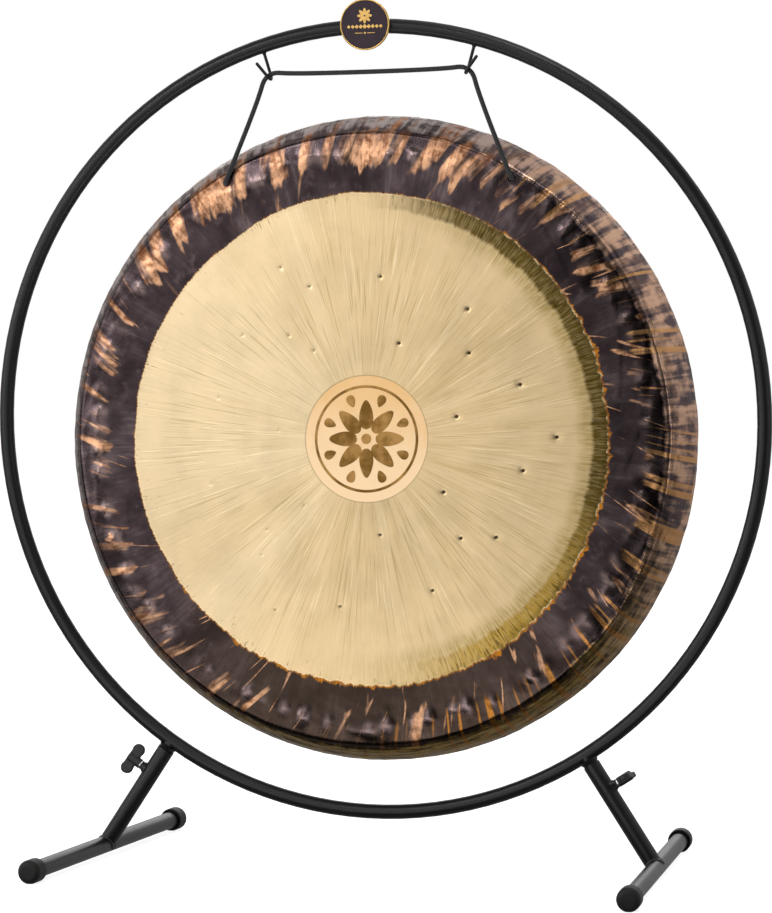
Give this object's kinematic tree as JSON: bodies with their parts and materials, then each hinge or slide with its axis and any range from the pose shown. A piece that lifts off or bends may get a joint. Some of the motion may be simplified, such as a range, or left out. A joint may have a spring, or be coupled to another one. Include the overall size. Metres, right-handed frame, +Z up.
{
  "type": "tam tam gong",
  "caption": "Round bronze gong with a turned-back rim, hung by a black cord from hooks in a round tube floor stand with splayed feet.",
  "frame": {"origin": "on the floor, below the middle of the stand's box", "axes": "+Z up, the playing face looks along -Y, +X to the right as seen by the player"},
  "size_m": [1.009, 0.4908, 1.0945],
  "materials": {
    "black_paint": "satin black powder coat",
    "rubber": "matt moulded rubber",
    "wing_plastic": "fine moulded texture",
    "zinc": "bright zinc plate",
    "gong_bronze": "lathed bronze face, dark oxide band and hammered rim",
    "cord_black": "braided",
    "badge_dark": "dark enamel",
    "badge_gold": "polished"
  },
  "bodies": {
    "frame": {"ring_tube": "black_paint", "badge_saddle": "black_paint", "badge_plate": "badge_dark", "badge_rim": "badge_gold", "badge_emblem": "badge_gold", "left_hook": "black_paint", "left_spigot": "black_paint", "right_hook": "black_paint", "right_spigot": "black_paint"},
    "gong": {"gong_plate": "gong_bronze", "hanging_cord": "cord_black", "left_knot": "cord_black", "right_knot": "cord_black"},
    "left_leg": {"left_leg_tube": "black_paint", "left_clamp_nut": "black_paint", "left_foot_tube": "black_paint", "left_front_cap": "rubber", "left_back_cap": "rubber"},
    "left_washer": {"left_washer": "zinc"},
    "left_wing": {"left_wing_head": "wing_plastic", "left_wing_stud": "zinc"},
    "right_leg": {"right_leg_tube": "black_paint", "right_clamp_nut": "black_paint", "right_foot_tube": "black_paint", "right_front_cap": "rubber", "right_back_cap": "rubber"},
    "right_washer": {"right_washer": "zinc"},
    "right_wing": {"right_wing_head": "wing_plastic", "right_wing_stud": "zinc"}
  },
  "joints": [
    {"name": "gong_swing", "type": "hinge", "parent": "frame", "child": "gong", "pos_m": [-0.1391, -0.0053, 1.0014], "axis": [0.9998, 0, 0.0201], "range_deg": [-15, 15]},
    {"name": "left_leg_swivel", "type": "hinge", "parent": "frame", "child": "left_leg", "pos_m": [-0.27896, 0, 0.14085], "axis": [-0.5486, 0, -0.8361], "range_deg": [-90, 90]},
    {"name": "left_clamp_travel", "type": "slide", "parent": "left_leg", "child": "left_washer", "axis": [-0.8361, 0, 0.5486], "range_m": [0, 0.005]},
    {"name": "left_wing_turn", "type": "hinge", "parent": "left_washer", "child": "left_wing", "pos_m": [-0.29925, 0, 0.10991], "axis": [-0.8361, 0, 0.5486], "range_deg": [0, 1800]},
    {"name": "right_leg_swivel", "type": "hinge", "parent": "frame", "child": "right_leg", "pos_m": [0.27896, 0, 0.14085], "axis": [0.5486, 0, -0.8361], "range_deg": [-90, 90]},
    {"name": "right_clamp_travel", "type": "slide", "parent": "right_leg", "child": "right_washer", "axis": [0.8361, 0, 0.5486], "range_m": [0, 0.005]},
    {"name": "right_wing_turn", "type": "hinge", "parent": "right_washer", "child": "right_wing", "pos_m": [0.29925, 0, 0.10991], "axis": [0.8361, 0, 0.5486], "range_deg": [0, 1800]}
  ],
  "couplings": [
    {"joint": "left_wing_turn", "follows": "left_clamp_travel", "rad_per_m": 6283.2},
    {"joint": "right_wing_turn", "follows": "right_clamp_travel", "rad_per_m": 6283.2}
  ]
}
